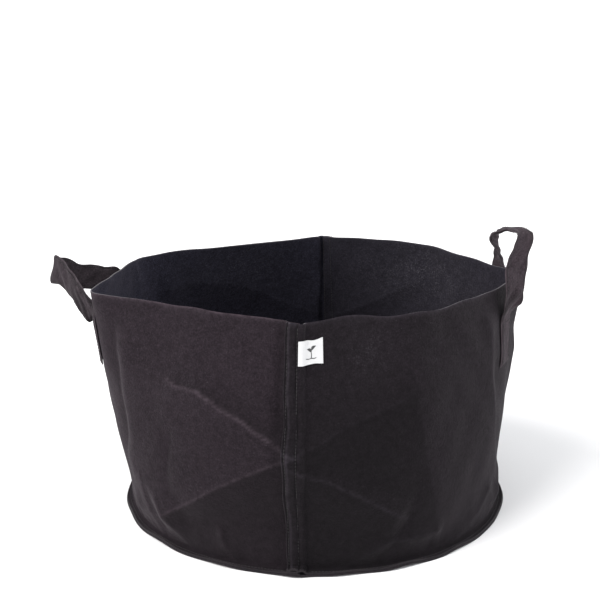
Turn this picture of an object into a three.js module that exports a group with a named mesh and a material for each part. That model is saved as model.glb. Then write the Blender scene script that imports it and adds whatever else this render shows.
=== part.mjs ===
// Fabric grow bag: two felt wall panels sewn to a round base, with two strap handles and a woven label.
// Millimetres, +Z up. The origin is the middle of the base's underside, and the front seam faces -Y.
import * as THREE from 'three';

// Driving dimensions
const BASE_RADIUS = 250; // outside of the wall where it meets the base
const WALL_HEIGHT = 308;
const FABRIC = 2; // thickness of the felt
const GAP = 0.3; // air kept between pieces that touch
const FLANGE = 9; // seam allowance round the base, turned outward
const LAP = 15; // how far one wall panel overlaps the other at a side seam
const RAMP = 6; // length over which the upper layer drops back onto the wall
const LEAD_IN = 8; // length over which a thread climbs towards a lap's edge
const RISE = FABRIC + GAP; // how far one layer lifts the next
const FOOT = FABRIC + GAP; // underside of the wall's outward foot, on the base panel

// The wall's plan at three heights: a circle, two half ellipses that share their depth, and the free rim
const WAIST = { height: 115, depth: 255, right: 253, left: 271, seam: -2 };
const RIM_RIGHT = [
  [-4, -216], [60, -190], [134, -174], [185, -120], [240, -42], [266, 5],
  [280, 31], [263, 50], [209, 111], [116, 203], [-5, 240],
];
const RIM_LEFT = [
  [-5, 240], [-126, 171], [-200, 126], [-256, 76], [-265, 35], [-274, -40], [-279, -105],
  [-215, -136], [-127, -173], [-4, -216],
];

// Handles: one strap each, sewn flat on the wall at both ends, with a free loop between
const STRAP = { width: 38, thick: 2.5 };
const TAB = { low: 206, high: 262 };
const HINGE_HEIGHT = 268;
const LEG_START = 5; // distance from the hinge line to the free loop
const HANDLES = {
  left: { front: -300, rear: -437, reach: 96, lean: 52, stand: 5 },
  right: { front: 328, rear: 470, reach: 106, lean: 11, stand: 13 },
};

// Label: a folded ribbon caught under the inner row of the front seam
const LABEL = { start: -1.5, width: 30, low: 258, high: 287, thick: 0.8 };

// Threads are shown as a continuous thin line of stitching
const THREAD = { width: 1.4, thick: 0.6, inset: 3 };
const TAB_THREAD_BREAK = 0.015; // share of one side left open at each end of a tab's rectangle
const TWIST_EASE = 0.35; // holds a loop's twist back near the tabs and the top

// Steps along the bends
const PANEL_STEPS = { along: 36, up: 12 };
const THREAD_STEPS = { up: 12, half: 40 };
const LOOP_STEPS = 28;
const BASE_STEPS = 72;

const AROUND = 2 * Math.PI * BASE_RADIUS; // length once round the wall
const HALF = AROUND / 2; // length of one wall panel
const rimCurve = (points) => new THREE.CatmullRomCurve3(points.map(([x, y]) => new THREE.Vector3(x, y, 0)));
const rimRight = rimCurve(RIM_RIGHT);
const rimLeft = rimCurve(RIM_LEFT);

// turn runs once round the bag, 0 to 1, counter-clockwise from the front seam; the back seam is at 0.5
function planPoints(turn) {
  const t = ((turn % 1) + 1) % 1;
  const onRight = t < 0.5;
  const angle = 2 * Math.PI * t - Math.PI / 2;
  const base = new THREE.Vector3(Math.cos(angle), Math.sin(angle), 0).multiplyScalar(BASE_RADIUS);
  const breadth = onRight ? WAIST.right - WAIST.seam : WAIST.left + WAIST.seam;
  const waist = new THREE.Vector3(WAIST.seam + breadth * Math.cos(angle), WAIST.depth * Math.sin(angle), 0);
  const rim = onRight ? rimRight.getPointAt(2 * t) : rimLeft.getPointAt(2 * t - 1);
  return [base, waist, rim];
}

// The wall's outer face without laps: a parabola in height through the three plans
function face(turn, z) {
  const [base, waist, rim] = planPoints(turn);
  const m = WAIST.height;
  const h = WALL_HEIGHT;
  const point = base.multiplyScalar(((z - m) * (z - h)) / (m * h));
  point.addScaledVector(waist, (z * (z - h)) / (m * (m - h)));
  point.addScaledVector(rim, (z * (z - m)) / (h * (h - m)));
  return point.setZ(z);
}

function outward(turn, z) {
  const step = 0.002;
  const along = face(turn + step, z).sub(face(turn - step, z)).normalize();
  return new THREE.Vector3(along.y, -along.x, 0);
}

const onWall = (turn, z, out) => face(turn, z).addScaledVector(outward(turn, z), out);

// On the foot, the layers stack upward and the turn-out is measured from the wall's face
function onFoot(turn, out, lift) {
  return onWall(turn, 0, out).setZ(FOOT + lift);
}

// Lift of a lapping layer at a distance past its seam
const lapLift = (distance) => RISE * Math.min(1, Math.max(0, 1 - distance / RAMP));

const spread = (from, to, steps) =>
  Array.from({ length: steps + 1 }, (_, i) => from + ((to - from) * i) / steps);

// A box whose three directions are bent into place: u follows the fabric round, v goes up, w goes outward
function bend([uSteps, vSteps, wSteps], place) {
  const geometry = new THREE.BoxGeometry(1, 1, 1, uSteps, vSteps, wSteps);
  const position = geometry.attributes.position;
  for (let i = 0; i < position.count; i++) {
    const [u, v, w] = [position.getX(i), position.getY(i), position.getZ(i)].map((c) => c + 0.5);
    const { x, y, z } = place(u, v, w);
    position.setXYZ(i, x, y, z);
  }
  geometry.computeVertexNormals();
  return geometry;
}

const pick = (list, fraction) => list[Math.round(fraction * (list.length - 1))];

const FELT = { roughness: 0.95, metalness: 0 };
const materials = {
  panel: new THREE.MeshStandardMaterial({ color: 0x242223, ...FELT }),
  base: new THREE.MeshStandardMaterial({ color: 0x1e1c1d, ...FELT }),
  strap: new THREE.MeshStandardMaterial({ color: 0x2a2829, ...FELT }),
  thread: new THREE.MeshStandardMaterial({ color: 0x151416, roughness: 0.7, metalness: 0 }),
  label: new THREE.MeshStandardMaterial({ color: 0xf2f1ec, roughness: 0.8, metalness: 0 }),
};

const bag = new THREE.Group();

function add(name, geometry, material) {
  const mesh = new THREE.Mesh(geometry, material);
  mesh.name = name;
  bag.add(mesh);
}

// Base: a flat round of felt whose edge shows under the wall's foot
function basePanel() {
  const disc = new THREE.CylinderGeometry(BASE_RADIUS + FLANGE, BASE_RADIUS + FLANGE, FABRIC, BASE_STEPS);
  disc.rotateX(Math.PI / 2);
  return disc.translate(0, 0, FABRIC / 2);
}

// Wall panel: half the way round; its first edge laps over the other panel, its foot turns outward
function wallPanel(start) {
  const plain = spread(RAMP, HALF - LAP, PANEL_STEPS.along);
  const distances = [-LAP, -LAP / 2, 0, ...plain, HALF - LAP / 2, HALF];
  const rows = ['edge', 'corner', ...spread(FOOT + RISE + FABRIC, WALL_HEIGHT, PANEL_STEPS.up)];
  return bend([distances.length - 1, rows.length - 1, 1], (u, v, w) => {
    const distance = pick(distances, u);
    const row = pick(rows, v);
    const turn = start + distance / AROUND;
    const layer = w * FABRIC + lapLift(distance);
    if (row === 'edge') return onFoot(turn, FLANGE, layer);
    if (row === 'corner') return onFoot(turn, layer - FABRIC, layer);
    return onWall(turn, row, layer - FABRIC);
  });
}

// Seam thread: a fine line up a lap, at a distance past the seam
function seamThread(start, distance) {
  const low = FOOT + RISE + FABRIC + THREAD.inset;
  const high = WALL_HEIGHT - THREAD.inset;
  const middle = start + distance / AROUND;
  return bend([1, THREAD_STEPS.up, 1], (u, v, w) => {
    const turn = middle + ((u - 0.5) * THREAD.width) / AROUND;
    return onWall(turn, low + v * (high - low), RISE + GAP + w * THREAD.thick);
  });
}

// Base thread: once round the foot, climbing over the lap at the back and stopping short of the front one
function baseThread() {
  const climb = HALF - LAP - LEAD_IN;
  const distances = [
    ...spread(RAMP, climb, THREAD_STEPS.half),
    HALF - LAP, HALF - LAP / 2, HALF,
    ...spread(HALF + RAMP, HALF + climb, THREAD_STEPS.half),
  ];
  const isRaised = (distance) => distance > climb && distance <= HALF;
  return bend([distances.length - 1, 1, 1], (u, v, w) => {
    const distance = pick(distances, u);
    const out = FLANGE / 2 + (0.5 - v) * THREAD.width;
    const lift = isRaised(distance) ? RISE : 0;
    return onFoot(distance / AROUND, out, FABRIC + lift + GAP + w * THREAD.thick);
  });
}

// Tab: the sewn end of a strap, flat on the outside of the wall
function tab(distance) {
  return bend([4, 6, 1], (u, v, w) => {
    const turn = (distance + (u - 0.5) * STRAP.width) / AROUND;
    return onWall(turn, TAB.low + v * (TAB.high - TAB.low), 2 * GAP + w * STRAP.thick);
  });
}

// Tab thread: the rectangle of stitching that holds a tab, started and ended at one corner
function tabThread(distance) {
  const top = TAB.high - THREAD.inset;
  const bottom = TAB.low + THREAD.inset;
  const middle = (top + bottom) / 2;
  return bend([16, 1, 1], (u, v, w) => {
    const side = 4 * (TAB_THREAD_BREAK + (1 - 2 * TAB_THREAD_BREAK) * u);
    const halfWidth = STRAP.width / 2 - THREAD.inset - v * THREAD.width;
    const halfHeight = (top - bottom) / 2 - v * THREAD.width;
    const sweep = (s) => Math.max(-1, Math.min(1, s));
    const across = halfWidth * (side < 2 ? sweep(2 * side - 1) : sweep(5 - 2 * side));
    const along = halfHeight * (side < 2 ? sweep(2 * side - 3) : sweep(7 - 2 * side));
    const turn = (distance + across) / AROUND;
    return onWall(turn, middle + along, 3 * GAP + STRAP.thick + w * THREAD.thick);
  });
}

// Hinge line of a handle, just outside the tops of its two tabs
function hinge({ front, rear, stand }) {
  const a = face(front / AROUND, HINGE_HEIGHT);
  const b = face(rear / AROUND, HINGE_HEIGHT);
  const along = b.clone().sub(a).normalize();
  const out = new THREE.Vector3(along.y, -along.x, 0);
  if (out.dot(a) < 0) out.negate();
  return { a: a.addScaledVector(out, stand), b: b.addScaledVector(out, stand), along, out };
}

// Loop: half an ellipse between the tabs; the strap makes half a turn from leg to leg, on edge at the top
function loop(handle) {
  const { a, b, along, out } = hinge(handle);
  const lean = THREE.MathUtils.degToRad(handle.lean);
  const up = new THREE.Vector3(0, 0, Math.cos(lean)).addScaledVector(out, Math.sin(lean));
  const across = new THREE.Vector3().crossVectors(along, up).normalize();
  const middle = a.clone().add(b).multiplyScalar(0.5).addScaledVector(up, LEG_START);
  const halfSpan = a.distanceTo(b) / 2;
  return bend([LOOP_STEPS, 2, 1], (u, v, w) => {
    const angle = Math.PI * u;
    const path = along.clone().multiplyScalar(halfSpan * Math.sin(angle));
    path.addScaledVector(up, (handle.reach - LEG_START) * Math.cos(angle)).normalize();
    const twist = angle - TWIST_EASE * Math.sin(2 * angle);
    const flat = new THREE.Vector3().crossVectors(across, path);
    const broad = flat.clone().multiplyScalar(Math.cos(twist)).addScaledVector(across, Math.sin(twist));
    const thick = new THREE.Vector3().crossVectors(path, broad);
    const point = middle.clone().addScaledVector(along, -halfSpan * Math.cos(angle));
    point.addScaledVector(up, (handle.reach - LEG_START) * Math.sin(angle));
    point.addScaledVector(broad, (v - 0.5) * STRAP.width);
    return point.addScaledVector(thick, (w - 0.5) * STRAP.thick);
  });
}

// Label: lies flat on the right panel, over the step at the front seam
function label() {
  const distances = [LABEL.start, 0, ...spread(RAMP, LABEL.start + LABEL.width, 2)];
  return bend([distances.length - 1, 2, 1], (u, v, w) => {
    const distance = pick(distances, u);
    const out = lapLift(distance) + 2 * GAP + w * LABEL.thick;
    return onWall(distance / AROUND, LABEL.low + v * (LABEL.high - LABEL.low), out);
  });
}

add('base_panel', basePanel(), materials.base);
add('wall_panel_right', wallPanel(0), materials.panel);
add('wall_panel_left', wallPanel(0.5), materials.panel);
add('base_seam_thread', baseThread(), materials.thread);
for (const [name, start] of [['front', 0], ['back', 0.5]]) {
  add(`${name}_seam_thread_edge`, seamThread(start, THREAD.inset - LAP), materials.thread);
  add(`${name}_seam_thread_inner`, seamThread(start, -THREAD.inset), materials.thread);
}
for (const [side, handle] of Object.entries(HANDLES)) {
  for (const end of ['front', 'rear']) {
    add(`handle_${side}_${end}_tab`, tab(handle[end]), materials.strap);
    add(`handle_${side}_${end}_thread`, tabThread(handle[end]), materials.thread);
  }
  add(`handle_${side}_loop`, loop(handle), materials.strap);
}
add('label_tag', label(), materials.label);

export default bag;
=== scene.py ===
"""Fabric grow bag: two felt wall panels on a round felt base, two strap handles, stitching and a label.

Metres. The origin is the middle of the base's underside, +Z is up and the front seam faces -Y.
A distance runs round the wall from the front seam, counter-clockwise as seen from above.
"""

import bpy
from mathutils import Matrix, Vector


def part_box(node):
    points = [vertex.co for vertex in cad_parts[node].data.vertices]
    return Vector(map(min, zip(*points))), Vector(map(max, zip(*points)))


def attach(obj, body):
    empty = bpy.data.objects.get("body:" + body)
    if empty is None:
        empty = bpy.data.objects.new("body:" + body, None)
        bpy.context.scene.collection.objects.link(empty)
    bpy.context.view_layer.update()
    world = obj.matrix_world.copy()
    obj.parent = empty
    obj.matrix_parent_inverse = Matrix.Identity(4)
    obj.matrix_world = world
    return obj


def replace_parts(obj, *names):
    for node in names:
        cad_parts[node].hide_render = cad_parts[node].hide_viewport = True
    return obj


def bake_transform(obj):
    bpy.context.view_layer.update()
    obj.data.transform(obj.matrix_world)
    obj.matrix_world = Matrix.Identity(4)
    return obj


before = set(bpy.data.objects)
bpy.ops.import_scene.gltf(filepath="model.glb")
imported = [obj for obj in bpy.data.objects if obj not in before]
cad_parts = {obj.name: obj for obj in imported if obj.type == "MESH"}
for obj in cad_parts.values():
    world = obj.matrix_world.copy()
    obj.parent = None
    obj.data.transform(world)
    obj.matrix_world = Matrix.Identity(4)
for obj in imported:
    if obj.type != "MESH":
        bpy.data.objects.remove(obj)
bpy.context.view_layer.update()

import random
from math import atan2, cos, hypot, pi, radians, sin

import bmesh
import bpy
import numpy as np
from mathutils import Matrix, Vector

# Sizes shared with the model
FLANGE = 0.009  # seam allowance round the base
BASE_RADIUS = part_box("base_panel")[1].x - FLANGE
WALL_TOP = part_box("wall_panel_right")[1].z
WAIST_HEIGHT = 0.115
WAIST_DEPTH = 0.255  # half the waist, front to back
WAIST_RIGHT = 0.253  # how far it reaches to each side
WAIST_LEFT = 0.271
WAIST_SEAM = -0.002  # how far to the right both seams stand at the waist
LAP = 0.015
# the rim's plan from seam to seam, in millimetres
RIM_RIGHT = [
    (-4, -216), (60, -190), (134, -174), (185, -120), (240, -42), (266, 5),
    (280, 31), (263, 50), (209, 111), (116, 203), (-5, 240),
]
RIM_LEFT = [
    (-5, 240), (-126, 171), (-200, 126), (-256, 76), (-265, 35), (-274, -40), (-279, -105),
    (-215, -136), (-127, -173), (-4, -216),
]
AROUND = 2 * pi * BASE_RADIUS
HALF = AROUND / 2
TAB_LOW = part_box("handle_left_front_tab")[0].z
TAB_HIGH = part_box("handle_left_front_tab")[1].z
LABEL_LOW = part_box("label_tag")[0].z
LABEL_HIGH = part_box("label_tag")[1].z
STRAP_WIDTH = 0.038
STRAP_HALF = 0.0016  # half the doubled strap's thickness

# Make-up of the cloth
FELT = 0.0018  # thickness of one layer
FOOT = 0.0033  # middle of the wall's foot, above the floor
FOOT_BEND = 0.006  # radius of the bend between foot and wall
UNDER = 0.0021  # middle of the turned-under layer, above the layer below it
TURN_RADIUS = 0.00105
OVER = UNDER + 2 * TURN_RADIUS  # middle of a lap's top layer
STEP = 0.003  # how far past its seam a lap's top layer stays raised
DROP = 0.009  # where it lies on the wall again
ROWS = (-0.0125, -0.0012)  # the two rows of stitches on a lap
STITCH = 0.0042  # pitch of the stitches
STRAP_ROW = 0.0158  # the strap's rows of stitches, from its middle
BOX_HALF = 0.0150  # half the box of stitches on a tab
NEST = 0.0001  # how far a stitch's middle lies off the felt
CREASE_WIDTH = 0.0019

# Order of a panel's materials after its outside one
CUT_EDGE_SLOT, FOOT_EDGE_SLOT, INSIDE_SLOT = 1, 2, 3


# ---------------------------------------------------------------- shape of the wall

def ease(x):
    x = np.clip(x, 0.0, 1.0)
    return x * x * (3 - 2 * x)


def bell(x, middle, width):
    return np.exp(-((x - middle) / width) ** 2)


def from_front(distance):
    """The distance from the front seam: plus to the right, minus to the left."""
    return np.mod(np.asarray(distance, float) + HALF, AROUND) - HALF


def rim_curve(points, per=60):
    """A centripetal Catmull-Rom curve through the points: its samples and their shares of its length."""
    p = np.array(points, float) / 1000
    p = np.vstack([2 * p[0] - p[1], p, 2 * p[-1] - p[-2]])
    out = []
    for i in range(1, len(p) - 2):
        p0, p1, p2, p3 = p[i - 1:i + 3]
        t0, t1, t2 = (np.linalg.norm(b - a) ** 0.5 for a, b in ((p0, p1), (p1, p2), (p2, p3)))
        m1 = ((p1 - p0) / t0 - (p2 - p0) / (t0 + t1) + (p2 - p1) / t1) * t1
        m2 = ((p2 - p1) / t1 - (p3 - p1) / (t1 + t2) + (p3 - p2) / t2) * t1
        t = np.linspace(0, 1, per, endpoint=False)[:, None]
        out.append((2 * t**3 - 3 * t**2 + 1) * p1 + (t**3 - 2 * t**2 + t) * m1
                   + (-2 * t**3 + 3 * t**2) * p2 + (t**3 - t**2) * m2)
    out.append(p[-2][None])
    out = np.vstack(out)
    run = np.r_[0, np.cumsum(np.linalg.norm(np.diff(out, axis=0), axis=1))]
    return out, run / run[-1]


RIGHT_CURVE = rim_curve(RIM_RIGHT)
LEFT_CURVE = rim_curve(RIM_LEFT)


def face(distance, z):
    """The wall's smooth outer face: a parabola in height through the base, the waist and the rim."""
    distance, z = np.broadcast_arrays(np.asarray(distance, float), np.asarray(z, float))
    turn = np.mod(distance / AROUND, 1.0)
    angle = 2 * pi * turn - pi / 2
    base = np.stack([np.cos(angle), np.sin(angle)], -1) * BASE_RADIUS
    breadth = np.where(turn < 0.5, WAIST_RIGHT - WAIST_SEAM, WAIST_LEFT + WAIST_SEAM)
    waist = np.stack([WAIST_SEAM + breadth * np.cos(angle), WAIST_DEPTH * np.sin(angle)], -1)
    sides = []
    for (points, share), along in ((RIGHT_CURVE, 2 * turn), (LEFT_CURVE, 2 * turn - 1)):
        sides.append(np.stack([np.interp(np.clip(along, 0, 1), share, points[:, k]) for k in (0, 1)], -1))
    rim = np.where((turn < 0.5)[..., None], sides[0], sides[1])
    m, h, q = WAIST_HEIGHT, WALL_TOP, z[..., None]
    plan = (base * ((q - m) * (q - h)) / (m * h) + waist * (q * (q - h)) / (m * (m - h))
            + rim * (q * (q - m)) / (h * (h - m)))
    return np.concatenate([plan, q], -1)


def outward(distance, z):
    """The level direction that points away from the wall."""
    step = 0.002 * AROUND
    along = face(distance + step, z) - face(distance - step, z)
    n = np.stack([along[..., 1], -along[..., 0], 0 * along[..., 0]], -1)
    return n / np.linalg.norm(n, axis=-1, keepdims=True)


def waves(distance, z, seed, rounds, heights, count=7):
    """Gentle unevenness from -1 to 1 that closes on itself round the wall."""
    pick = random.Random(seed)
    total = 0
    for _ in range(count):
        k, v, shift = pick.randint(*rounds), pick.uniform(*heights), pick.uniform(0, 2 * pi)
        total = total + np.sin(2 * pi * (k * distance / AROUND + v * z) + shift)
    return total / count ** 0.5 / 1.6


class Fold:
    """A crease pressed into the felt: a line of (distance, height) points with a crest that falls away
    on each side. left and right are the widths of those sides, seen while going along the line.
    round_off softens the crest, fade is the length its ends die out over, then comes how pale the highlight
    painted along its crest is, and last (how dark, how wide) the shade painted on its left side is, or with a
    minus on its right."""

    def __init__(self, line, crest, left, right, round_off=0.0015, fade=0.02, worn=1.0, painted_shade=(0, 0.05)):
        self.line = np.array(line, float) / 1000
        self.crest, self.left, self.right = crest, left, right
        self.round_off, self.fade, self.worn, self.painted_shade = round_off, fade, worn, painted_shade
        self.axis = self.line[-1] - self.line[0]
        self.length = float(np.linalg.norm(self.axis))
        self.axis = self.axis / self.length
        self.side = np.array([-self.axis[1], self.axis[0]])

    def at(self, distance, z):
        middle = self.line[:, 0].mean()
        d = np.mod(distance - middle + HALF, AROUND) - HALF + middle
        dd, dz = d - self.line[0, 0], z - self.line[0, 1]
        along = dd * self.axis[0] + dz * self.axis[1]
        off = dd * self.side[0] + dz * self.side[1]
        rel = self.line - self.line[0]
        off = off - np.interp(along, rel @ self.axis, rel @ self.side)
        begun, left = (along + self.fade) / self.fade, (self.length + self.fade - along) / self.fade
        strength = ease(begun) * ease(left)
        width = np.where(off > 0, self.left, self.right)
        fall = np.exp(-(np.sqrt(off**2 + self.round_off**2) - self.round_off) / width)
        # the line of painted highlight along the crest, and the painted shade on one side of it
        crease = bell(off, 0, CREASE_WIDTH)
        amount, reach = self.painted_shade
        dark_side = off if amount > 0 else -off
        painted_shade = abs(amount) * ease(dark_side / 0.004 + 0.4) * np.exp(-np.clip(dark_side, 0, None) / reach)
        return strength, fall, crease, painted_shade


# each is (line in millimetres, crest, left width, right width, round_off, fade, painted highlight, painted
# shade)
FOLDS = [
    # the long creases that meet on the front seam
    Fold([(-178, 46), (-130, 78), (-98, 102), (-59, 127), (-31, 143), (-8, 155)],
         0.0125, 0.090, 0.038, 0.0010, 0.03, 0.7, (-0.85, 0.170)),
    Fold([(-150, 216), (-117, 216), (-98, 209), (-85, 201), (-64, 194), (-49, 184), (-32, 176), (-15, 163)],
         0.0046, 0.006, 0.026, 0.0006, 0.03, 1.0, (0.70, 0.014)),
    Fold([(-110, 226), (-60, 205), (-12, 176)], -0.0020, 0.012, 0.006, 0.0030, 0.02, 0),
    Fold([(4, 136), (36, 124), (71, 103), (115, 74)],
         0.0100, 0.045, 0.045, 0.0012, 0.03, 0.8, (-0.40, 0.050)),
    Fold([(4, 146), (36, 136), (76, 118), (124, 92)],
         -0.0010, 0.020, 0.008, 0.0030, 0.03, 0, (0.35, 0.040)),
    Fold([(7, 161), (60, 188), (122, 211)], 0.0045, 0.040, 0.014, 0.0030, 0.04, 0.2, (-0.40, 0.030)),
    # hollows between them
    Fold([(-140, 48), (-70, 66), (-8, 78)], -0.0065, 0.030, 0.030, 0.0080, 0.03, 0),
    Fold([(8, 76), (60, 58), (110, 40)], -0.0050, 0.030, 0.030, 0.0080, 0.03, 0),
    # softer folds further round
    Fold([(-164, 86), (-166, 112), (-160, 150)], -0.0026, 0.014, 0.008, 0.0016, 0.02, 0, (-0.55, 0.009)),
    Fold([(-240, 40), (-234, 82), (-232, 141), (-244, 200), (-248, 236)],
         0.0075, 0.022, 0.040, 0.0120, 0.06, 0.10),
    Fold([(-262, 130), (-260, 165), (-259, 199), (-261, 252)],
         -0.0070, 0.020, 0.014, 0.0040, 0.04, 0, (0.45, 0.014)),
    Fold([(176, 60), (160, 130), (146, 215)], 0.0055, 0.050, 0.050, 0.0060, 0.05, 0.1, (0.50, 0.130)),
    Fold([(330, 30), (303, 128), (290, 198), (288, 262)], 0.0070, 0.030, 0.022, 0.0030, 0.04, 0.35),
    Fold([(322, 60), (314, 128), (308, 198)], -0.0040, 0.014, 0.020, 0.0040, 0.04, 0),
    # puckers above the base seam
    Fold([(55, 9), (83, 25), (113, 37), (171, 36)],
         0.0042, 0.010, 0.012, 0.0014, 0.02, 0.3, (-0.40, 0.016)),
    Fold([(-84, 10), (-92, 24), (-96, 44)], 0.0036, 0.008, 0.005, 0.0012, 0.015, 0.3, (-0.40, 0.010)),
    Fold([(-150, 12), (-168, 34), (-185, 62)], 0.0036, 0.012, 0.008, 0.0015, 0.02, 0.3, (-0.30, 0.012)),
    Fold([(-205, 10), (-214, 38), (-218, 80)], 0.0032, 0.012, 0.010, 0.0020, 0.02, 0.3),
    Fold([(225, 14), (262, 30), (290, 52)], 0.0034, 0.010, 0.012, 0.0015, 0.02, 0.3, (-0.25, 0.014)),
    Fold([(300, 10), (322, 30), (346, 58)], 0.0036, 0.012, 0.010, 0.0020, 0.02, 0.3),
    # the back, seen inside as well
    Fold([(-470, 302), (-485, 262), (-492, 200)], -0.0045, 0.020, 0.020, 0.0030, 0.04, 0.2),
    Fold([(-542, 250), (-582, 256), (-643, 246), (-685, 229), (-719, 209), (-771, 186)],
         -0.0070, 0.030, 0.055, 0.0015, 0.03, 0.4, (-0.45, 0.060)),
    Fold([(630, 251), (659, 235), (736, 195), (775, 178)],
         -0.0065, 0.045, 0.030, 0.0015, 0.03, 0.4, (0.30, 0.040)),
    Fold([(520, 60), (600, 110), (690, 150), (770, 176)],
         0.0070, 0.050, 0.040, 0.0015, 0.04, 0.4, (-0.45, 0.090)),
    Fold([(-560, 52), (-640, 100), (-720, 140), (-778, 172)],
         0.0070, 0.040, 0.050, 0.0015, 0.04, 0.4, (0.45, 0.090)),
    Fold([(430, 30), (418, 120), (405, 205)], 0.0070, 0.030, 0.030, 0.0040, 0.04, 0.2),
    Fold([(-400, 60), (-392, 120), (-398, 190)], 0.0055, 0.030, 0.030, 0.0040, 0.04, 0.2),
    Fold([(560, 14), (590, 36), (640, 52)], 0.0034, 0.012, 0.008, 0.0015, 0.02, 0.3, (-0.30, 0.014)),
    Fold([(-640, 12), (-610, 34), (-570, 50)], 0.0034, 0.012, 0.008, 0.0015, 0.02, 0.3, (-0.30, 0.014)),
]
NARROW = 0.027  # folds with sides narrower than this lie on top of the broad ones


def relief(distance, z):
    """How far the felt stands out from the smooth face, how pale the painted highlight is there and how dark
    the painted shade.
    """
    distance, z = np.broadcast_arrays(np.asarray(distance, float), np.asarray(z, float))
    signed = from_front(distance)
    broad = 0.0020 * waves(distance, z, 3, (3, 9), (-6, 6))
    small = 0.0008 * waves(distance, z, 5, (14, 34), (-18, 18), 9)
    out = broad + small + 0.004 * bell(signed, 0, 0.060) * bell(z, 0.150, 0.055)
    proud = sunk = worn = painted_shade = np.zeros_like(out)
    for fold in FOLDS:
        strength, fall, crease, dark = fold.at(distance, z)
        push = fold.crest * strength * fall
        if max(fold.left, fold.right) < NARROW:
            out = out + push
        elif fold.crest > 0:
            proud = proud + push ** 3
        else:
            sunk = sunk - push ** 3
        # each fold adds its painted highlight along the crest and its painted shade on one side
        worn = worn + fold.worn * strength * crease
        painted_shade = painted_shade + strength * dark
    out = out + np.cbrt(proud) - np.cbrt(sunk)
    # painted shade: darker low down, to the right of the front seam and in a band just left of it
    painted_shade = painted_shade + 0.24 * ease((0.28 - z) / 0.16) + 0.30 * bell(signed, 0.070, 0.070)
    painted_shade = painted_shade + 0.45 * ease((signed + 0.022) / 0.008) * (signed < 0) * ease((z - 0.150) / 0.03)
    # the layer beside the front lap is drawn in towards it, with painted shade in that hollow
    beside = bell(signed, -0.021, 0.006) * ease((z - 0.12) / 0.05)
    out = out - 0.0024 * beside
    painted_shade = painted_shade + 0.5 * beside
    # the wall tucks in above the flange at both sides
    out = out - 0.0085 * bell(signed, -0.370, 0.085) * bell(z, 0.052, 0.034)
    out = out - 0.0035 * bell(signed, 0.385, 0.085) * bell(z, 0.060, 0.040)
    out = out * ease((z - 0.004) / 0.035)
    # short gathers where the wall is sewn to the base
    gathers = waves(distance, 0 * z, 11, (38, 90), (0, 0), 9)
    out = out + 0.0011 * gathers * ease(z / 0.010) * np.exp(-z / 0.022)
    return out, worn, np.clip(painted_shade, 0, 1)


def dusty(distance, z):
    """Where pale dust has settled in the pile: high on the back wall, and a little on the front."""
    signed = from_front(distance)
    back_right = bell(signed, 0.610, 0.105) * bell(z, 0.262, 0.045)
    back_left = 0.8 * bell(signed, -0.660, 0.090) * bell(z, 0.27, 0.045)
    front_right = 0.35 * bell(signed, 0.085, 0.03) * bell(z, 0.268, 0.03)
    front_left = 0.25 * bell(signed, -0.145, 0.03) * bell(z, 0.222, 0.02)
    return (back_right + back_left) + (front_right + front_left)


def rim_rise(distance):
    """How far the rim stands above its even height."""
    signed = from_front(distance)
    rise = 0.0013 * waves(distance, 0 * signed, 17, (5, 22), (0, 0)) - 0.0022 * bell(signed, 0, 0.030)
    return rise + 0.0048 * bell(signed, 0.590, 0.085) + 0.0015 * bell(signed, -0.560, 0.060)


def flange_reach(distance):
    """How much further out the flange goes than its even width."""
    signed = from_front(distance)
    even = 0.0016 + 0.0012 * waves(distance, 0 * signed, 29, (6, 30), (0, 0), 6)
    return even + 0.0045 * bell(signed, -0.004, 0.016) + 0.0020 * bell(signed, -0.200, 0.080)


def flange_rise(distance):
    """How far the sewn flange curls up at its edge: never below flat."""
    lift = 0.5 + 0.5 * waves(distance, 0 * np.asarray(distance, float), 23, (5, 26), (0, 0), 6)
    return 0.0032 * np.clip(lift, 0, 1) ** 1.5


FLAT_FOOT = FLANGE - FOOT_BEND
BEND_RUN = FOOT_BEND * pi / 2
PROFILE = FLAT_FOOT + BEND_RUN + WALL_TOP - FOOT - FOOT_BEND  # flange edge to rim


def height_to_run(z):
    return FLAT_FOOT + BEND_RUN + z - FOOT - FOOT_BEND


def on_cloth(distance, run, lift=0.0):
    """A point on the middle of the bag's cloth. run goes from the flange's edge, round the bend and up to
    the rim; lift is how far the layer lies above the lowest one."""
    distance, run, lift = np.broadcast_arrays(*(np.asarray(a, float) for a in (distance, run, lift)))
    turned = np.clip((run - FLAT_FOOT) / FOOT_BEND, 0, pi / 2)
    climb = np.clip(run - FLAT_FOOT - BEND_RUN, 0, None)
    out = np.where(run < FLAT_FOOT, FLANGE - run, FOOT_BEND - (FOOT_BEND - lift) * np.sin(turned))
    z = FOOT + FOOT_BEND - (FOOT_BEND - lift) * np.cos(turned) + climb
    swell = relief(distance, z)[0]
    at_face = np.where(run < FLAT_FOOT, 0, z)
    foot_share = np.clip(out / FLANGE, 0, 1) * (climb <= 0)
    p = face(distance, at_face)
    reach = flange_reach(distance) * foot_share
    p = p + outward(distance, at_face) * (out + reach - FELT / 2 + swell * (climb > 0))[..., None]
    z = z + rim_rise(distance) * ease(z / WALL_TOP) ** 3 + flange_rise(distance) * foot_share ** 2
    p[..., 2] = z
    return p


# ---------------------------------------------------------------- making pieces

def as_mesh(name, bm):
    """Turns a bmesh into a mesh and frees it."""
    mesh = bpy.data.meshes.new(name)
    bm.to_mesh(mesh)
    bm.free()
    return mesh


def show(name, mesh, *finishes):
    obj = bpy.data.objects.new(name, mesh)
    bpy.context.scene.collection.objects.link(obj)
    for finish in finishes:
        obj.data.materials.append(finish)
    return obj


def bake(obj):
    """Applies the modifiers of a piece."""
    bpy.context.view_layer.update()
    done = bpy.data.meshes.new_from_object(obj.evaluated_get(bpy.context.evaluated_depsgraph_get()))
    obj.modifiers.clear()
    old, obj.data = obj.data, done
    name = old.name
    bpy.data.meshes.remove(old)
    obj.data.name = name


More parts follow.
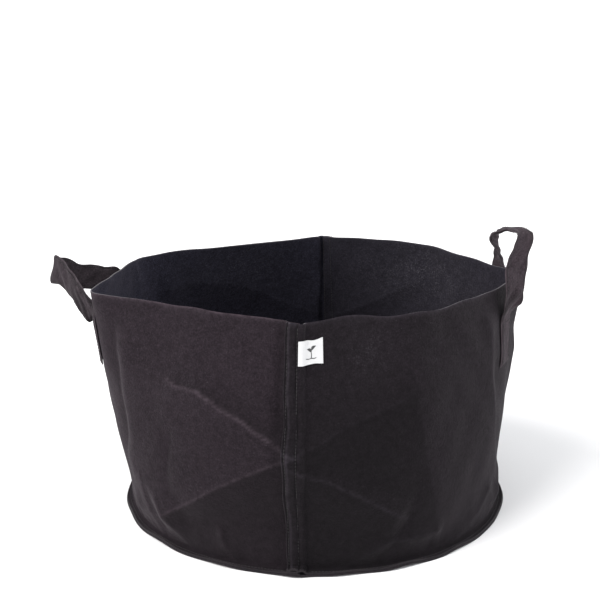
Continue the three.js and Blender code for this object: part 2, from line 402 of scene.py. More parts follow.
def smooth(obj, crease_angle=50):
    """Smooth shading with crisp cut edges."""
    bm = bmesh.new()
    bm.from_mesh(obj.data)
    for f in bm.faces:
        f.smooth = True
    limit = radians(crease_angle)
    for e in bm.edges:
        if len(e.link_faces) == 2 and e.calc_face_angle(0) > limit:
            e.smooth = False
    bm.to_mesh(obj.data)
    bm.free()


def lay_out(name, across, up, place, thickness, finish, edge_finish, marks=None, inside_finish=None):
    """A sheet: a flat grid whose columns and rows are set at the given stations, then laid in place.
    Its UV map holds the stations in metres, and marks are attributes that its finish reads."""
    bm = bmesh.new()
    bmesh.ops.create_grid(bm, x_segments=len(across) - 1, y_segments=len(up) - 1, size=0.5)
    mesh = as_mesh(name, bm)
    co = np.zeros(len(mesh.vertices) * 3)
    mesh.vertices.foreach_get("co", co)
    co = co.reshape(-1, 3) + 0.5
    columns = np.rint(co[:, 0] * (len(across) - 1)).astype(int)
    rows = np.rint(co[:, 1] * (len(up) - 1)).astype(int)
    placed = place(columns, rows)
    mesh.vertices.foreach_set("co", placed.reshape(-1).astype(np.float32))
    loops = np.zeros(len(mesh.loops), int)
    mesh.loops.foreach_get("vertex_index", loops)
    uv = np.stack([np.asarray(across)[columns], np.asarray(up)[rows]], -1)[loops]
    layer = mesh.uv_layers.new(name="lay")
    layer.data.foreach_set("uv", uv.reshape(-1).astype(np.float32))
    for label, values in (marks(columns, rows) if marks else {}).items():
        mark = mesh.attributes.new(label, "FLOAT", "POINT")
        mark.data.foreach_set("value", values.astype(np.float32))
    mesh.update()
    two_faced = (FOOT_EDGE_PAINTED_SHADE, inside_finish) if inside_finish else ()
    obj = show(name, mesh, finish, edge_finish, *two_faced)
    if thickness:
        solid = obj.modifiers.new("thickness", "SOLIDIFY")
        solid.thickness = thickness
        solid.offset = 0
        solid.use_even_offset = True
        solid.use_quality_normals = True
        solid.material_offset_rim = CUT_EDGE_SLOT
        solid.material_offset = INSIDE_SLOT if inside_finish else 0
        bake(obj)
    smooth(obj)
    return obj


# ---------------------------------------------------------------- finishes

def make(tree, kind, inputs=None, **settings):
    n = tree.nodes.new("ShaderNode" + kind)
    for key, value in settings.items():
        setattr(n, key, value)
    for key, value in (inputs or {}).items():
        if isinstance(value, bpy.types.NodeSocket):
            tree.links.new(value, n.inputs[key])
        else:
            n.inputs[key].default_value = value
    return n


def new_finish(name):
    material = bpy.data.materials.new(name)
    material.use_nodes = True
    return material, material.node_tree, material.node_tree.nodes["Principled BSDF"]


def blend_colour(tree, share, a, b):
    n = make(tree, "Mix", data_type="RGBA")
    for socket, value in ((n.inputs[0], share), (n.inputs[6], a), (n.inputs[7], b)):
        if isinstance(value, bpy.types.NodeSocket):
            tree.links.new(value, socket)
        elif isinstance(value, tuple):
            socket.default_value = (*value, 1)
        else:
            socket.default_value = value
    return n.outputs[2]


def scaled(tree, value, low, high, to_low, to_high):
    return make(tree, "MapRange", {0: value, 1: low, 2: high, 3: to_low, 4: to_high}).outputs[0]


def maths(tree, operation, a, b):
    return make(tree, "Math", {0: a, 1: b}, operation=operation).outputs[0]


def dress(tree, shader, tone, roughness, height=None, strength=0.5, distance=0.0002):
    """Links a finish's colour and roughness, and its height as a bump."""
    tree.links.new(tone, shader.inputs["Base Color"])
    tree.links.new(roughness, shader.inputs["Roughness"])
    if height:
        bump = make(tree, "Bump", {"Height": height, "Strength": strength, "Distance": distance})
        tree.links.new(bump.outputs[0], shader.inputs["Normal"])


def times(colour, factor):
    """A colour made brighter or darker."""
    return tuple(min(1, c * factor) for c in colour)


def grain(tree, place, scale, detail=3.0, rough=0.55, twist=0.0):
    return make(tree, "TexNoise", {"Vector": place, "Scale": scale, "Detail": detail, "Roughness": rough,
                                   "Distortion": twist}).outputs["Fac"]


def felt(name, deep, pale, worn_tone, sheen=0.09, specks=0.25):
    """Needle-punched felt: cloudy dye, tangled fibres, small punch dimples, lint and dust, with a painted
    highlight along creases and edges and painted shade where the mesh marks it."""
    material, tree, shader = new_finish(name)
    place = make(tree, "UVMap", uv_map="lay").outputs[0]
    lengthwise = make(tree, "Mapping", {"Vector": place, "Scale": (1.0, 0.42, 1.0)}).outputs[0]
    slanted = make(tree, "Mapping", {"Vector": place, "Rotation": (0, 0, 0.9),
                                     "Scale": (0.45, 1.0, 1.0)}).outputs[0]
    clouds = grain(tree, place, 11, 4, 0.6)
    mottle = grain(tree, place, 120, 5, 0.7, 0.3)
    fibre_a = grain(tree, lengthwise, 900, 4, 0.7, 0.8)
    fibre_b = grain(tree, slanted, 1100, 4, 0.7, 0.8)
    fibres = maths(tree, "MAXIMUM", fibre_a, fibre_b)
    punches = make(tree, "TexVoronoi", {"Vector": place, "Scale": 420, "Randomness": 0.8}).outputs["Distance"]
    tone = blend_colour(tree, scaled(tree, clouds, 0.3, 0.7, 0, 1), deep, pale)
    tone = blend_colour(tree, scaled(tree, mottle, 0.38, 0.78, 0, 0.55), tone, times(pale, 2.1))
    pile = grain(tree, place, 400, 3, 0.7, 0.4)
    tone = blend_colour(tree, scaled(tree, pile, 0.52, 0.72, 0, 0.55), tone, times(pale, 2.6))
    tone = blend_colour(tree, scaled(tree, pile, 0.48, 0.32, 0, 0.60), tone, times(deep, 0.4))
    tone = blend_colour(tree, scaled(tree, fibres, 0.62, 0.40, 0, 0.75), tone, times(deep, 0.35))
    lint_spots = make(tree, "TexVoronoi", {"Vector": place, "Scale": 170}).outputs["Distance"]
    lint_patch = grain(tree, place, 16, 3, 0.6)
    lint = maths(tree, "MULTIPLY", scaled(tree, lint_spots, 0.16, 0.06, 0, specks),
                 scaled(tree, lint_patch, 0.52, 0.68, 0, 1))
    tone = blend_colour(tree, lint, tone, (0.11, 0.10, 0.11))
    # painted highlight: paler along creases and edges
    worn = make(tree, "Attribute", attribute_name="worn").outputs["Fac"]
    highlight_share = maths(tree, "MULTIPLY", worn, scaled(tree, mottle, 0.30, 0.60, 0.25, 1.0))
    tone = blend_colour(tree, highlight_share, tone, worn_tone)
    dust = make(tree, "Attribute", attribute_name="dust").outputs["Fac"]
    flecks = scaled(tree, grain(tree, place, 420, 3, 0.75, 0.5), 0.50, 0.68, 0, 1)
    film = scaled(tree, grain(tree, place, 60, 4, 0.7), 0.35, 0.70, 0.05, 0.8)
    settled = maths(tree, "MULTIPLY", dust, maths(tree, "MULTIPLY", flecks, film))
    tone = blend_colour(tree, settled, tone, (0.115, 0.108, 0.122))
    # painted shade: darker where the mesh marks shade
    painted_shade = make(tree, "Attribute", attribute_name="painted_shade").outputs["Fac"]
    tone = blend_colour(tree, maths(tree, "MULTIPLY", painted_shade, 0.55), tone, times(deep, 0.22))
    height = maths(tree, "ADD", fibres, maths(tree, "MULTIPLY", punches, 0.55))
    height = maths(tree, "ADD", height, maths(tree, "MULTIPLY", mottle, 1.3))
    dress(tree, shader, tone, scaled(tree, mottle, 0.3, 0.7, 0.98, 0.86), height, 0.75, 0.0007)
    shader.inputs["Specular IOR Level"].default_value = 0.14
    shader.inputs["Sheen Weight"].default_value = sheen
    shader.inputs["Sheen Roughness"].default_value = 0.4
    shader.inputs["Sheen Tint"].default_value = (0.66, 0.58, 0.64, 1)
    return material


def cut_edge(name, deep, pale):
    """The cut edge of felt: loose grey fibre ends."""
    material, tree, shader = new_finish(name)
    place = make(tree, "UVMap", uv_map="lay").outputs[0]
    ends = grain(tree, place, 1500, 5, 0.75, 0.6)
    tone = blend_colour(tree, scaled(tree, ends, 0.35, 0.65, 0, 1), deep, pale)
    dress(tree, shader, tone, scaled(tree, ends, 0.3, 0.7, 1.0, 0.85), ends, 0.9, 0.0006)
    shader.inputs["Specular IOR Level"].default_value = 0.15
    shader.inputs["Sheen Weight"].default_value = 0.12
    shader.inputs["Sheen Roughness"].default_value = 0.5
    return material


def thread_finish(name):
    """Twisted polyester thread, with a slight gloss."""
    material, tree, shader = new_finish(name)
    place = make(tree, "TexCoord").outputs["Object"]
    strands = make(tree, "TexWave", {"Vector": place, "Scale": 900, "Distortion": 2.0, "Detail": 2.0},
                   wave_type="BANDS", bands_direction="DIAGONAL").outputs["Fac"]
    tone = blend_colour(tree, strands, (0.004, 0.0035, 0.0045), (0.016, 0.013, 0.015))
    dress(tree, shader, tone, scaled(tree, strands, 0, 1, 0.55, 0.75), strands)
    return material


def ribbon_finish(name):
    """White woven ribbon: a fine weave with a trace of shading between the threads."""
    material, tree, shader = new_finish(name)
    place = make(tree, "UVMap", uv_map="lay").outputs[0]
    warp = make(tree, "TexWave", {"Vector": place, "Scale": 500, "Distortion": 0.6, "Detail": 1.0},
                wave_type="BANDS", bands_direction="X").outputs["Fac"]
    weft = make(tree, "TexWave", {"Vector": place, "Scale": 420, "Distortion": 0.6, "Detail": 1.0},
                wave_type="BANDS", bands_direction="Y").outputs["Fac"]
    weave = maths(tree, "MAXIMUM", warp, weft)
    tone = blend_colour(tree, weave, (0.44, 0.44, 0.45), (0.58, 0.58, 0.58))
    dress(tree, shader, tone, scaled(tree, weave, 0, 1, 0.8, 0.6), weave, 0.4)
    shader.inputs["Sheen Weight"].default_value = 0.15
    return material


def print_finish(name):
    """Dark printed ink, thin where it has not reached between the threads."""
    material, tree, shader = new_finish(name)
    place = make(tree, "TexCoord").outputs["Object"]
    soak = grain(tree, place, 2200, 3, 0.6)
    thin = scaled(tree, soak, 0.5, 0.72, 0, 1)
    tone = blend_colour(tree, thin, (0.020, 0.020, 0.022), (0.16, 0.16, 0.16))
    dress(tree, shader, tone, scaled(tree, soak, 0.3, 0.7, 0.7, 0.9))
    return material


# each felt is (deep tone, pale tone, painted highlight tone)
# the left wall's felt is painted lighter and browner as lit, the right wall's darker and bluer as shaded
LIT_BROWN_FELT = felt("felt_brown_black_painted_lit",
             (0.0088, 0.0058, 0.0081), (0.0148, 0.0102, 0.0138), (0.072, 0.054, 0.066))
SHADED_BLUE_FELT = felt("felt_blue_black_painted_shade",
            (0.0055, 0.0039, 0.0053), (0.0090, 0.0066, 0.0090), (0.048, 0.040, 0.051))
# the inside felts are painted lighter than the outside as lit, the inside left most
INSIDE_RIGHT_PAINTED_LIT = felt("felt_inside_right_painted_lit",
                    (0.0110, 0.0098, 0.0145), (0.0168, 0.0152, 0.0215), (0.052, 0.049, 0.062))
INSIDE_LEFT_PAINTED_LIT = felt("felt_inside_left_painted_lit",
                   (0.0175, 0.0166, 0.0262), (0.0268, 0.0255, 0.0385), (0.060, 0.058, 0.075))
# the base felt is painted lighter as lit
BASE_FELT_PAINTED_LIT = felt("felt_base_painted_lit",
                  (0.0120, 0.0098, 0.0138), (0.0188, 0.0156, 0.0210), (0.045, 0.039, 0.048))
# the left strap's felt is painted darker as shaded, the right strap's lighter as lit
STRAP_LEFT_PAINTED_SHADE = felt("felt_strap_left_painted_shade",
                  (0.0165, 0.0125, 0.0150), (0.0260, 0.0200, 0.0238), (0.080, 0.068, 0.075))
STRAP_RIGHT_PAINTED_LIT = felt("felt_strap_right_painted_lit",
                   (0.0225, 0.0165, 0.0200), (0.0360, 0.0268, 0.0320), (0.100, 0.080, 0.090))
# cut edges: the rim's painted lighter where its fibre ends catch the light, the foot's painted darker as
# shaded
CUT_EDGE_PAINTED_LIT = cut_edge("felt_cut_edge_painted_highlight", (0.020, 0.017, 0.020), (0.080, 0.072, 0.082))
FOOT_EDGE_PAINTED_SHADE = cut_edge("felt_foot_edge_painted_shade", (0.006, 0.005, 0.006), (0.018, 0.014, 0.017))
THREAD = thread_finish("sewing_thread")
RIBBON = ribbon_finish("label_ribbon_white")
INK = print_finish("label_ink")


# ---------------------------------------------------------------- wall panels

def lap_height(x):
    """How far a lap's top layer stands above the wall as it drops onto it."""
    return OVER * (1 - float(ease((x - STEP) / (DROP - STEP))))


def lap_path():
    """The cross-section of a panel, as (distance past its seam, lift): its first edge is turned under, the
    lap drops onto the wall, and the far end runs under the other panel's lap."""
    turn_at = TURN_RADIUS - LAP
    path = [(x, UNDER) for x in np.linspace(-0.0020, turn_at, 6)]
    for a in np.linspace(0, pi, 9)[1:-1]:
        path.append((turn_at - TURN_RADIUS * sin(a), UNDER + TURN_RADIUS - TURN_RADIUS * cos(a)))
    for x in np.linspace(turn_at, STEP, 28):
        puff = 0.0012 * sin(pi * min(1, max(0, (x - ROWS[0]) / (ROWS[1] - ROWS[0]))))
        pulled = sum(float(bell(x, row, 0.0012)) for row in ROWS)
        path.append((x, OVER + puff - 0.0010 * pulled))
    for x in np.linspace(STEP, DROP, 8)[1:]:
        path.append((x, lap_height(x)))
    path += [(x, 0.0) for x in np.linspace(DROP, HALF - LAP, 296)[1:]]
    path += [(x, 0.0) for x in np.linspace(HALF - LAP, HALF, 6)[1:]]
    return np.array(path)


LAP_PATH = lap_path()
PROFILE_STATIONS = np.r_[np.linspace(0, FLAT_FOOT, 3), np.linspace(FLAT_FOOT, FLAT_FOOT + BEND_RUN, 6)[1:],
                         np.linspace(FLAT_FOOT + BEND_RUN, PROFILE, 112)[1:]]


def wall_panel(name, start, finish, inside_finish):
    """One wall panel, whose lap lies over the seam at start."""
    steps = np.hypot(np.diff(LAP_PATH[:, 0]), np.diff(LAP_PATH[:, 1]))
    pattern = start + np.r_[0, np.cumsum(steps)]

    def wander(run):
        return 0.0008 * np.sin(run * 41 + start * 9) + 0.0005 * np.sin(run * 97 + 1)

    def place(columns, rows):
        x, lift = LAP_PATH[columns, 0], LAP_PATH[columns, 1]
        run = PROFILE_STATIONS[rows]
        near = bell(x, 0, 0.04)
        distance = start + x + wander(run) * near
        ripple = 0.0004 * np.sin(run * 260 + start) * (lift > 0.003)
        return on_cloth(distance, run, lift + ripple)

    def marks(columns, rows):
        x, lift = LAP_PATH[columns, 0], LAP_PATH[columns, 1]
        run = PROFILE_STATIONS[rows]
        _, fold_highlight, painted_shade = relief(start + x, np.clip(run - height_to_run(0), 0, None))
        rim = np.exp(-(PROFILE - run) / 0.0018)
        on_lap = lift > OVER / 2
        grooves = on_lap * sum(bell(x, row, 0.0011) for row in ROWS)
        ridge = on_lap * bell(x, -0.0098, 0.0012)
        # painted highlight along the folds, the rim and a ridge on the lap; painted shade from the folds, in
        # the stitch grooves, over the lap and in the bend above the foot
        return {"worn": np.clip(0.5 * fold_highlight + 0.5 * rim + 0.30 * ridge, 0, 1),
                "painted_shade": np.clip(painted_shade * (1 - 0.5 * on_lap) + 0.9 * grooves + 0.15 * on_lap
                               + 0.5 * bell(run, FLAT_FOOT + BEND_RUN / 2, 0.0024), 0, 1),
                "dust": np.clip(dusty(start + x, run - height_to_run(0)), 0, 1)}

    panel = lay_out(name, pattern, PROFILE_STATIONS, place, FELT, finish, CUT_EDGE_PAINTED_LIT, marks, inside_finish)
    # the foot's cut edge gets painted shade, darker than the rim's painted highlight
    for f in panel.data.polygons:
        if f.material_index == CUT_EDGE_SLOT and f.center.z < 0.02:
            f.material_index = FOOT_EDGE_SLOT
    return panel


# ---------------------------------------------------------------- base

# each is (x and y of its middle, its direction, half its length)
BASE_WRINKLES = [(-0.06, 0.05, 0.5, 0.16), (0.09, -0.04, 2.1, 0.13), (0.02, 0.13, 2.8, 0.12)]


def base_panel():
    """The round base: lies flat inside, with a few soft wrinkles, and its edge follows the flange."""
    radius = BASE_RADIUS + FLANGE
    stations = np.linspace(-1, 1, 181)

    def place(columns, rows):
        x, y = stations[columns], stations[rows]
        p = np.stack([x * np.sqrt(1 - y * y / 2), y * np.sqrt(1 - x * x / 2)], -1) * radius
        r = np.hypot(p[:, 0], p[:, 1])
        distance = np.mod(np.arctan2(p[:, 1], p[:, 0]) + pi / 2, 2 * pi) * BASE_RADIUS
        inner = ease((BASE_RADIUS - 0.012 - r) / 0.05)
        slack = waves(p[:, 0] * 5 + p[:, 1] * 2, p[:, 1], 31, (1, 4), (-5, 5))
        swell = 0.0026 * np.clip(slack + 0.35, 0, None)
        for x0, y0, angle, length in BASE_WRINKLES:
            along = (p[:, 0] - x0) * cos(angle) + (p[:, 1] - y0) * sin(angle)
            off = -(p[:, 0] - x0) * sin(angle) + (p[:, 1] - y0) * cos(angle)
            swell = swell + 0.0035 * np.exp(-(along / length) ** 4) * np.exp(-np.abs(off) / 0.012)
        out = np.clip((r - BASE_RADIUS) / FLANGE, 0, 1)
        z = 0.0010 + inner * swell + flange_rise(distance) * out ** 2
        p = p * (1 + flange_reach(distance) * out / r.clip(0.1))[:, None]
        return np.column_stack([p, z])

    return lay_out("base_cloth", stations * radius, stations * radius, place, FELT, BASE_FELT_PAINTED_LIT, FOOT_EDGE_PAINTED_SHADE)


# ---------------------------------------------------------------- stitching

def stitch_template():
    """One stitch: a short plump dash of thread, dipping into the felt at both ends."""
    bm = bmesh.new()
    bmesh.ops.create_uvsphere(bm, u_segments=6, v_segments=5, radius=1)
    for v in bm.verts:
        z = v.co.z
        girth = (1 - abs(z) ** 4) ** 0.5 if abs(z) < 1 else 0
        flat = hypot(v.co.x, v.co.y)
        if flat > 1e-6:
            v.co.x *= girth / flat
            v.co.y *= girth / flat
    return as_mesh("stitch", bm)


DASH = stitch_template()


def look_up(at, run, rows):
    """The row at a length along the run."""
    return Vector([np.interp(at, run, rows[:, k]) for k in range(3)])


def sew(bm, line, normals, pitch=STITCH, length=0.0034, width=0.00085, height=0.0006, first=0.5):
    """Adds stitches to bm along a line of points; normals point away from the cloth."""
    line, normals = np.asarray(line, float), np.asarray(normals, float)
    run = np.r_[0, np.cumsum(np.linalg.norm(np.diff(line, axis=0), axis=1))]
    count = int(run[-1] / pitch)
    sway = random.Random(round(run[-1] * 1e6))
    for i in range(count):
        middle = (i + first) * run[-1] / count
        ends = [look_up(middle + s * length / 2, run, line) for s in (-1, 1)]
        out = look_up(middle, run, normals).normalized()
        along = (ends[1] - ends[0]).normalized()
        side = out.cross(along).normalized()
        along = (along + side * sway.uniform(-0.07, 0.07)).normalized()
        side = out.cross(along).normalized()
        up = along.cross(side)
        size = sway.uniform(0.92, 1.08)
        m = Matrix([side * width / 2, up * height / 2, along * length / 2 * size]).transposed().to_4x4()
        m.translation = (ends[0] + ends[1]) / 2
        dash = DASH.copy()
        dash.transform(m)
        if m.determinant() < 0:
            dash.flip_normals()
        bm.from_mesh(dash)
        bpy.data.meshes.remove(dash)


def stitched(name, bm, body="bag"):
    for f in bm.faces:
        f.smooth = True
    obj = show(name, as_mesh(name, bm), THREAD)
    if body:
        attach(obj, body)
    return obj


def seam_row(start, distance, inside):
    """One row of a side seam, outside on the lap or inside on the lower layer."""
    heights = np.linspace(0.012, WALL_TOP - 0.004, 160)
    run = height_to_run(heights)
    lift = -FELT / 2 - NEST if inside else OVER + FELT / 2 - 0.0004  # the lap's rows are pulled in
    line = on_cloth(start + distance, run, lift)
    normal = outward(start + distance, heights) * (-1 if inside else 1)
    return line, normal


def base_row():
    """The row round the flange, which climbs over the back seam's lap."""
    around = np.linspace(DROP + 0.004, AROUND - LAP - 0.004, 900)
    at_back_lap = ease((around - HALF + LAP + 0.003) / 0.003) * ease((HALF + DROP - around) / DROP)
    line = on_cloth(around, FLANGE / 2, FELT / 2 + NEST + OVER * at_back_lap)
    return line, np.tile([0.0, 0.0, 1.0], (len(line), 1))


# ---------------------------------------------------------------- handles

def spline(rows, share):
    """Catmull-Rom through rows of numbers, at shares of the number of rows."""
    rows = np.asarray(rows, float)
    i = np.clip(share.astype(int), 0, len(rows) - 2)
    t = (share - i)[:, None]
    padded = np.vstack([2 * rows[0] - rows[1], rows, 2 * rows[-1] - rows[-2]])
    a, b, c, d = (padded[i + k] for k in range(4))
    return 0.5 * (2 * b + (c - a) * t + (2 * a - 5 * b + 4 * c - d) * t**2 + (3 * b - a - 3 * c + d) * t**3)


# each row is the strap's middle (x, y, z), then the direction of its width there; the places of a loop's
# two end rows are left at 0 and filled in on the wall
RIGHT_LOOP = [
    (0, 0, 0, 0.45, 0.89, 0.00),
    (0.2574, -0.0440, 0.2836, 0.58, 0.81, 0.00),
    (0.2597, -0.0470, 0.3046, 0.66, 0.75, 0.00),
    (0.2604, -0.0460, 0.3293, 0.76, 0.65, 0.00),
    (0.2627, -0.0400, 0.3490, 0.80, 0.58, 0.12),
    (0.2702, -0.0260, 0.3643, 0.70, 0.66, 0.22),
    (0.2701, -0.0080, 0.3729, 0.45, 0.88, -0.06),
    (0.2557, 0.0060, 0.3735, 0.22, 0.97, -0.14),
    (0.2447, 0.0200, 0.3686, 0.15, 0.98, -0.12),
    (0.2385, 0.0360, 0.3584, 0.35, 0.93, -0.10),
    (0.2452, 0.0540, 0.3371, -0.05, 1.00, 0.00),
    (0.2503, 0.0740, 0.3118, -0.35, 0.93, 0.00),
    (0.2519, 0.0810, 0.2859, -0.55, 0.83, 0.00),
    (0, 0, 0, -0.66, 0.75, 0.00),
]
LEFT_LOOP = [
    (0, 0, 0, 0.10, -0.99, 0.00),
    (-0.2853, -0.0870, 0.2729, 0.26, -0.52, 0.78),
    (-0.2920, -0.0870, 0.2825, 0.32, -0.40, 0.80),
    (-0.3035, -0.0810, 0.2944, 0.32, -0.38, 0.82),
    (-0.3152, -0.0700, 0.3064, 0.24, -0.38, 0.86),
    (-0.3293, -0.0550, 0.3160, 0.18, -0.20, 0.96),
    (-0.3478, -0.0360, 0.3193, 0.15, 0.10, 0.98),
    (-0.3424, -0.0150, 0.3103, 0.05, 0.20, 0.90),
    (-0.3295, 0.0030, 0.3007, 0.00, 0.50, 0.66),
    (-0.3153, 0.0180, 0.2945, 0.00, 0.55, 0.60),
    (-0.3017, 0.0330, 0.2889, -0.03, 0.60, 0.60),
    (-0.2847, 0.0470, 0.2856, -0.05, 0.65, 0.62),
    (-0.2727, 0.0550, 0.2747, -0.10, 0.90, 0.35),
    (0, 0, 0, 0.00, 1.00, 0.00),
]
STRAP_STAND = FELT / 2 + STRAP_HALF + 0.0004  # the strap's middle, above the wall's
TAB_STEPS, LOOP_STEPS = 24, 120  # stations up each tab and round the loop
BROAD_SIDE = 25  # stations across each broad side
CLING_TOP = 0.300  # the strap's sewn shape follows the wall up to this height


class Strap:
    """One doubled strap: sewn flat on the wall at its front tab, looped free, and sewn flat again.
    front and rear are its tabs' distances round the wall, sides says which way its width runs on each,
    and curl is how far its long edges curl."""

    def __init__(self, loop, front, rear, sides, curl):
        self.sides, self.curl = sides, curl
        loop = np.array(loop, float)
        for row, distance in ((0, front), (-1, rear)):  # both ends start on the wall
            loop[row, :3] = on_cloth(distance, height_to_run(TAB_HIGH), STRAP_STAND)
        heights = np.linspace(TAB_LOW, TAB_HIGH, TAB_STEPS)
        share = np.linspace(0, len(loop) - 1, LOOP_STEPS)
        free = spline(loop, share)
        count = 2 * TAB_STEPS + LOOP_STEPS - 2
        self.middle = np.zeros((count, 3))
        self.width = np.zeros((count, 3))
        self.height = np.zeros(count)
        self.at = np.zeros(count)
        self.freed = np.zeros(count)
        last = TAB_STEPS + LOOP_STEPS - 1
        self.height[:TAB_STEPS] = heights
        self.height[count - TAB_STEPS:] = heights[::-1]
        self.at[:TAB_STEPS] = front
        self.at[count - TAB_STEPS:] = rear
        body = slice(TAB_STEPS - 1, last)
        self.middle[body] = free[:, :3]
        w = free[:, 3:] / np.linalg.norm(free[:, 3:], axis=1, keepdims=True)
        self.width[body] = w
        self.height[body] = free[:, 2]
        self.at[body] = np.repeat([front, rear], LOOP_STEPS // 2)
        self.freed[body] = ease(np.minimum(share, len(loop) - 1 - share) / 1.1)
        # on the tabs the wall decides, so the free frame there only has to be sensible
        self.middle[:TAB_STEPS - 1] = free[0, :3]
        self.middle[last:] = free[-1, :3]
        self.width[:TAB_STEPS - 1] = w[0]
        self.width[last:] = w[-1]
        self.run = None
        centre = self.point(np.arange(count), np.zeros(count), 0)
        self.run = np.r_[0, np.cumsum(np.linalg.norm(np.diff(centre, axis=0), axis=1))]

    def point(self, i, across, lift):
        """A point at station i, across the width, and lift off the strap's middle on the side that its
        width and its path give."""
        share = self.freed[i][:, None]
        at_front = i < len(self.at) / 2
        hand = np.where(at_front, *self.sides)
        facing = np.where(at_front, 1.0, -1.0) * hand
        z = np.clip(self.height[i], TAB_LOW, CLING_TOP)
        sewn = on_cloth(self.at[i] + across * hand, height_to_run(z), STRAP_STAND + facing * lift)
        w = self.width[i]
        ahead = self.middle[np.minimum(i + 1, len(self.middle) - 1)] - self.middle[np.maximum(i - 1, 0)]
        length = np.linalg.norm(ahead, axis=1, keepdims=True)
        ahead = np.where(length > 1e-6, ahead / np.maximum(length, 1e-6), [0, 0, 1.0])
        out = np.cross(w, ahead)
        out = out / np.maximum(np.linalg.norm(out, axis=1, keepdims=True), 1e-6)
        run = 0 * across if self.run is None else self.run[i]
        curl = self.curl * (2 * across / STRAP_WIDTH) ** 2
        crumple = (0.0014 * np.sin(run * 97 + across * 130) * np.sin(run * 41 + 0.6)
                   + 0.0010 * np.sin(run * 210 - across * 260 + 1) * np.sin(run * 63 + 2))
        shuffle = 0.0007 * np.sin(run * 120 + 2)
        free = self.middle[i] + w * (across + shuffle)[:, None] + out * (lift + curl + crumple)[:, None]
        return sewn * (1 - share) + free * share


def strap_piece(name, strap, finish):
    """The strap as a closed doubled band: rounded at its long edges and pinched shut at its two ends."""
    count = len(strap.run)
    half_width = STRAP_WIDTH / 2
    # the stations go over one broad side and back under the other
    flat = np.r_[np.linspace(1, -1, BROAD_SIDE), np.linspace(-1, 1, BROAD_SIDE)[1:]]
    side = np.repeat([1.0, -1.0], [BROAD_SIDE, BROAD_SIDE - 1])
    thick = (1 - np.abs(flat) ** 10) ** 0.5
    xs = half_width * flat

    def place(columns, rows):
        across = xs[rows]
        end = np.minimum(columns, count - 1 - columns)
        shut = np.where(end == 0, 0.0, np.where(end == 1, 0.85, 1.0))
        seam = 0.00045 * bell(np.abs(across), STRAP_ROW, 0.0012)
        lift = side[rows] * (STRAP_HALF * thick[rows] - seam * (thick[rows] > 0.3)) * shut
        wobble = 0.0007 * np.sin(strap.run[columns] * 150 + np.sign(across) * 2) * (np.abs(across) > 0.012)
        wobble = wobble * strap.freed[columns]
        return strap.point(columns, across + wobble, lift)

    def marks(columns, rows):
        edge = np.exp(-(1 - np.abs(flat[rows])) * half_width / 0.0012)
        groove = bell(np.abs(xs[rows]), STRAP_ROW, 0.0011)
        # a slanting crease where the front leg leaves the wall, with a painted highlight along it and painted
        # shade on its side towards the seam
        z, across = strap.height[columns], xs[rows] * strap.sides[0]
        front = columns < count / 2
        slant = across + 0.019 - (z - TAB_HIGH) * 0.92
        begun, left = ease((z - TAB_HIGH + 0.004) / 0.006), ease((0.312 - z) / 0.022)
        shaded = front * ease(-slant / 0.003) * begun * left
        crease = front * bell(slant, 0.001, 0.0012) * (z > TAB_HIGH) * (z < 0.302)
        # painted highlight on the long edges and the crease; painted shade in the stitch grooves and beside
        # the crease
        return {"worn": np.clip(0.45 * edge + 0.5 * crease, 0, 1),
                "painted_shade": np.clip(0.8 * groove + shaded, 0, 1)}

    up = np.r_[0, np.cumsum(np.hypot(np.diff(xs), np.diff(side * STRAP_HALF * thick)))]
    obj = lay_out(name, strap.run, up, place, 0, finish, CUT_EDGE_PAINTED_LIT, marks)
    bm = bmesh.new()
    bm.from_mesh(obj.data)
    bmesh.ops.remove_doubles(bm, verts=bm.verts, dist=0.00002)
    bmesh.ops.recalc_face_normals(bm, faces=bm.faces)
    bm.to_mesh(obj.data)
    bm.free()
    smooth(obj, 60)
    return obj


def strap_stitches(name, strap):
    """Two rows along the strap, and a box with a cross through it on each tab."""
    bm = bmesh.new()
    count = len(strap.run)
    top = STRAP_HALF + NEST

    def trace(columns, across, lift):
        columns, across = np.asarray(columns), np.asarray(across, float)
        line = strap.point(columns, across, np.full(len(columns), lift))
        under = strap.point(columns, across, np.full(len(columns), lift * 0.2))
        normal = line - under
        return line, normal / np.linalg.norm(normal, axis=1, keepdims=True)

    low, high = 1, TAB_STEPS - 1
    for edge in (-STRAP_ROW, STRAP_ROW):
        inner = np.arange(high + 1, count - high - 1)
        for lift in (top, -top):
            sew(bm, *trace(inner, np.full(len(inner), edge), lift))
    tabs = ((low, high, 1, strap.sides[0]), (count - 1 - low, count - 1 - high, -1, -strap.sides[1]))
    for first, last, step, face_out in tabs:
        up = np.arange(first + step, last + step, step)
        for edge in (-BOX_HALF, BOX_HALF):
            sew(bm, *trace(up, np.full(len(up), edge), top * face_out))
        for row in (up[0], up[-1]):
            sew(bm, *trace(np.full(20, row), np.linspace(-BOX_HALF, BOX_HALF, 20), top * face_out))
        for sign in (-1, 1):
            sew(bm, *trace(up, sign * np.linspace(-BOX_HALF, BOX_HALF, len(up)), top * face_out))
    return stitched(name, bm, None)


# ---------------------------------------------------------------- label

LABEL_START, LABEL_WIDE = -0.0002, 0.030
LABEL_BOTTOM, LABEL_TOP = LABEL_LOW + 0.0035, LABEL_HIGH + 0.0025
LABEL_GAP = 0.00028  # half the distance between the middles of its two layers


def label_bulge(x):
    """How many times wider the gap is towards the label's middle."""
    return 1 + 0.8 * np.sin(pi * x / LABEL_WIDE)


def label_lift(x, z):
    """How far the label lies above the wall: over the seam's lap, then rippling."""
    over_seam = OVER * (1 - ease((x - STEP) / (DROP - STEP + 0.003))) + FELT / 2
    wave = 0.0007 * np.sin((x * 150) + (z - LABEL_BOTTOM) * 60) * ease((x - 0.004) / 0.01)
    return over_seam + 0.0006 + np.abs(wave)


